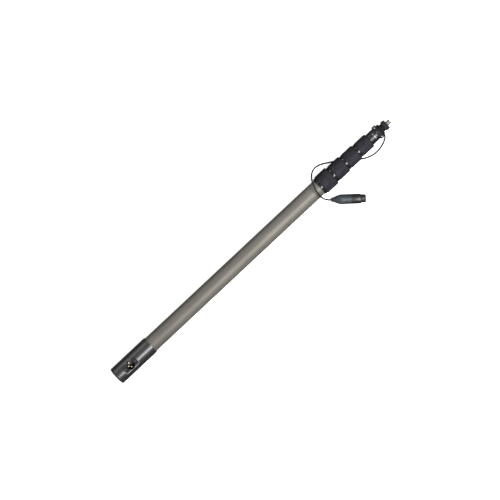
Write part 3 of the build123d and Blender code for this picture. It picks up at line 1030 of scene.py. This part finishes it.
def make_stud():
    """The neck, the threaded microphone stud and its knurled lock nut."""
    neck_start, neck_end, neck_r = span("stud_base")
    nut_start, nut_end, nut_r = span("lock_nut")
    stud_start, stud_end, stud_r = span("mic_stud")
    neck = turned(
        "stud_neck",
        (
            (neck_start, 0),
            (neck_start, neck_r, 0.2),
            (neck_start + 1.9, neck_r, 0.2),
            (neck_start + 2.2, neck_r - 0.35),
            (neck_start + 2.5, neck_r, 0.2),
            (neck_end, neck_r, 0.6),
            (neck_end, stud_r - 0.1),
            (stud_start, stud_r - 0.1),
            (stud_start, 0),
        ),
    )
    stand_in(neck, "housing_anodised", "stud_base", finish=HEAD_BLACK)

    pitch = 25.4 / 16  # 16 threads to the inch
    depth = 0.85
    crest, flanks = 0.12, 0.76  # on the scale from a crest's middle (0) to a root's (1)
    thread_start = neck_end + 0.1
    rows = 90
    chamfer = 0.9
    shank_r = stud_r - 0.16

    def thread(along, radius, turn):
        if radius != stud_r:
            return radius
        flank = (groove(along / pitch - turn / tau) - crest) / flanks
        cut = stud_r - depth * min(1, max(0, flank))
        return min(cut, stud_r - chamfer + stud_end - along)

    thread_rows = [
        (thread_start + (stud_end - thread_start) * row / rows, stud_r) for row in range(rows + 1)
    ]
    outline = (
        (stud_start, 0), (stud_start, shank_r), (thread_start, shank_r), *thread_rows,
        (stud_end, 0),
    )
    stud = turned("threaded_stud", outline, around=72, shape=thread)
    stand_in(stud, "bright_steel", "mic_stud", finish=STUD_STEEL)

    flutes = 36
    flute_depth = 0.45
    edge = 1.3
    under = nut_r - flute_depth

    def straight_knurl(along, radius, turn):
        if radius != under:
            return radius
        return under + flute_depth * min(1, 1.6 * groove(flutes * turn / tau))

    nut = turned(
        "knurled_lock_nut",
        (
            (nut_start, stud_r + 0.08, 0.3),
            (nut_start, nut_r - edge, 0.3),
            (nut_start + edge, under),
            (nut_end - edge, under),
            (nut_end, nut_r - edge, 0.3),
            (nut_end, stud_r + 0.9, 0.2),
            (nut_end - 0.7, stud_r + 0.08),
        ),
        around=4 * flutes, shape=straight_knurl,
    )
    stand_in(nut, "collar_anodised", "lock_nut")


make_sleeve()
make_clamp()
make_head()
make_stud()


# ------------------------------------------------------------------ the plug on the pigtail
# Stations run from the boot's tail to the nose.
PLUG = facing(PLUG_START, PLUG_DIR)
PLUG_LENGTH = 64.4
BOOT_END = 37.0
BOOT_THREAD_START = 30.0
BOOT_R = 9.3
SHELL_R = 9.2
NOSE_R = 7.7
SHELL_BORE_R = 7.1
NOSE_START = 56.0
LATCH_START = 42.3
LATCH_LENGTH = 12.4
LATCH_WIDTH = 5.0


def make_boot():
    """The clamping boot: it swells from a narrow tail into a fluted grip, then a ringed nut."""
    steps = 12
    swell_start, swell_end = 4.7, 20.0
    tail_r = 4.7
    grip_first, grip_last = 8.0, 26.0
    swell = [
        (
            swell_start + (swell_end - swell_start) * step / steps,
            tail_r + (BOOT_R - tail_r) * sin(pi / 2 * step / steps) ** 1.15,
        )
        for step in range(steps + 1)
    ]
    grip_rows = [
        (swell_end + (grip_last - swell_end) * step / steps, BOOT_R)
        for step in range(1, steps + 1)
    ]
    flutes = 12
    flute_depth = 0.55
    ring_first, ring_spacing, ring_depth = 27.0, 2.3, 0.5
    rings = []
    for index in range(4):
        start = ring_first + ring_spacing * index
        rings += [
            (start, BOOT_R, 0.12), (start + 0.15, BOOT_R - ring_depth, 0.1),
            (start + 0.75, BOOT_R - ring_depth, 0.1), (start + 0.9, BOOT_R, 0.12),
        ]

    def flute(along, radius, turn):
        if radius < 5.5 or not grip_first < along < grip_last:
            return radius
        fade = sin(pi * (along - grip_first) / (grip_last - grip_first)) ** 0.6
        hollow = max(0, cos(flutes * turn)) ** 1.5
        return radius - flute_depth * fade * hollow

    outline = (
        (4.5, CORD_R + SNUG),
        (4.5, 4.4, 0.2),
        *swell,
        *grip_rows,
        *rings,
        (BOOT_END, BOOT_R, 0.3),
        (BOOT_END, 8.1),
        (BOOT_THREAD_START, 8.1),
        (BOOT_THREAD_START, 6.6),
        (14.0, 6.2),
        (8.0, 3.0),
        (6.0, CORD_R + SNUG),
    )
    boot = turned("plug_boot_grip", outline, [PLUG], around=96, shape=flute)
    return stand_in(boot, "boot_plastic", "plug_boot")


def make_tail_ring():
    """The soft black ring round the cord where it goes into the boot."""
    outline = (
        (0, CORD_R + SNUG),
        (0, 2.9, 0.5),
        (0.5, 4.1, 0.5),
        (1.9, 4.2, 0.2),
        (2.1, 3.8),
        (2.5, 3.8),
        (2.7, 4.2, 0.2),
        (4.45, 4.2, 0.3),
        (4.45, CORD_R + SNUG),
    )
    ring = turned("plug_tail_ring", outline, [PLUG], around=64)
    ring.data.materials.append(FINISHES["seal_rubber"])
    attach(ring, "section_5")
    return ring


def make_shell():
    """The plug's shell, with a slot for the latch and a smaller nose."""
    outline = (
        (BOOT_THREAD_START + 0.5, SHELL_BORE_R),
        (BOOT_THREAD_START + 0.5, 8.0),
        (BOOT_END, 8.0),
        (BOOT_END, SHELL_R, 0.35),
        (38.6, SHELL_R, 0.1),
        (38.8, SHELL_R - 0.3),
        (39.3, SHELL_R - 0.3),
        (39.5, SHELL_R, 0.1),
        (NOSE_START - 1.6, SHELL_R, 0.9),
        (NOSE_START, NOSE_R, 0.4),
        (PLUG_LENGTH - 2.4, NOSE_R, 0.1),
        (PLUG_LENGTH - 2.2, NOSE_R - 0.15),
        (PLUG_LENGTH - 1.9, NOSE_R - 0.15),
        (PLUG_LENGTH - 1.7, NOSE_R, 0.1),
        (PLUG_LENGTH, NOSE_R, 0.5),
        (PLUG_LENGTH, SHELL_BORE_R, 0.1),
    )
    shell = turned("plug_shell_body", outline, [PLUG], around=96)
    gap = 0.3
    half_width = LATCH_WIDTH / 2 + gap
    slot = block(
        (LATCH_START - gap, -half_width, 5.8),
        (LATCH_START + LATCH_LENGTH + gap, half_width, 15),
        PLUG,
    )
    carve(shell, slot)
    return stand_in(shell, "plug_lacquer", "plug_shell")


def make_latch():
    """The push lever in the shell's slot, with three finger ridges."""
    proud = 0.6
    thickness = 2.2
    edge = 0.12
    top = SHELL_R + proud
    ridge_first, ridge_spacing, ridge_depth = 2.0, 1.6, 0.35
    side = [(0, top - thickness), (0, top, 0.8)]
    for ridge in range(3):
        start = ridge_first + ridge_spacing * ridge
        side += [
            (start, top),
            (start + 0.3, top - ridge_depth, 0.1),
            (start + 0.8, top - ridge_depth, 0.1),
            (start + 1.1, top),
        ]
    side += [(LATCH_LENGTH, top - 0.5, 0.6), (LATCH_LENGTH, top - thickness)]
    loop = [(LATCH_START + x, y) for x, y in eased(side)]
    upright = PLUG @ Matrix.Translation((0, LATCH_WIDTH / 2, 0)) @ Matrix.Rotation(pi / 2, 4, "X")
    latch = slab("plug_latch_lever", [loop], LATCH_WIDTH, edge, upright)
    return stand_in(latch, "boot_plastic", "plug_latch")


plug_pieces = [make_boot(), make_tail_ring(), make_shell(), make_latch()]
paint("insert_plastic", "plug_insert")
paint("contact_gold", "plug_contacts")
paint("bush_plastic", "plug_chuck")
plug_pieces += [frame["nodes"][node] for node in ("plug_insert", "plug_contacts", "plug_chuck")]


# ------------------------------------------------------------------ floor and light
def make_floor():
    """A wide pale floor that the object stands on."""
    maker = bmesh.new()
    bmesh.ops.create_grid(maker, x_segments=1, y_segments=1, size=6)
    floor = new_piece("floor", maker)
    finish = Finish("floor_paper", {"Roughness": 0.9, "Specular IOR Level": 0.1})
    paper = finish.noise(4, detail=2.0)
    finish.colours(paper, (0.86, 0.86, 0.86, 1), (0.9, 0.9, 0.9, 1))
    finish.shader.inputs["Emission Color"].default_value = (1, 1, 1, 1)
    finish.shader.inputs["Emission Strength"].default_value = 0.86
    floor.data.materials.append(finish.material)
    floor.visible_glossy = False
    floor.visible_diffuse = False


def softbox(name, centre, target, width, depth, power):
    """A rectangular studio light, in metres and watts, whose width lies along the pole."""
    data = bpy.data.lights.new(name, "AREA")
    data.shape = "RECTANGLE"
    data.size = width
    data.size_y = depth
    data.energy = power
    light = bpy.data.objects.new(name, data)
    bpy.context.scene.collection.objects.link(light)
    away = (Vector(centre) - Vector(target)).normalized()
    across = away.cross(Vector((1, 0, 0))).normalized()
    turn = Matrix((across.cross(away), across, away)).transposed().to_4x4()
    light.matrix_world = Matrix.Translation(centre) @ turn
    light.visible_camera = False


def make_light():
    """A world that is brighter overhead, one key strip and two weaker fills."""
    world = bpy.data.worlds.new("studio")
    bpy.context.scene.world = world
    world.use_nodes = True
    tree = world.node_tree
    background = tree.nodes["Background"]
    direction = tree.nodes.new("ShaderNodeTexCoord")
    split = tree.nodes.new("ShaderNodeSeparateXYZ")
    ramp = tree.nodes.new("ShaderNodeMapRange")
    low, high = -0.2, 0.9  # heights on the unit sphere
    dim, bright = 0.1, 0.3
    for socket, number in zip(ramp.inputs[1:5], (low, high, dim, bright)):
        socket.default_value = number
    tree.links.new(direction.outputs["Generated"], split.inputs["Vector"])
    tree.links.new(split.outputs["Z"], ramp.inputs["Value"])
    tree.links.new(ramp.outputs["Result"], background.inputs["Strength"])
    background.inputs["Color"].default_value = (1, 1, 1, 1)
    aim = (0, 0, AXIS_Z)
    softbox("key_strip", (0.25, -0.5, 1.56), aim, width=1.7, depth=0.46, power=30)
    softbox("back_fill", (0.1, 2.1, 1.0), aim, width=2.4, depth=1.0, power=11)
    near_tip = (0.15, 0, AXIS_Z)
    softbox("tip_fill", (0.5, -0.15, 0.9), near_tip, width=0.5, depth=0.5, power=4.5)
    bpy.context.scene.view_settings.view_transform = "Standard"


make_floor()
make_light()
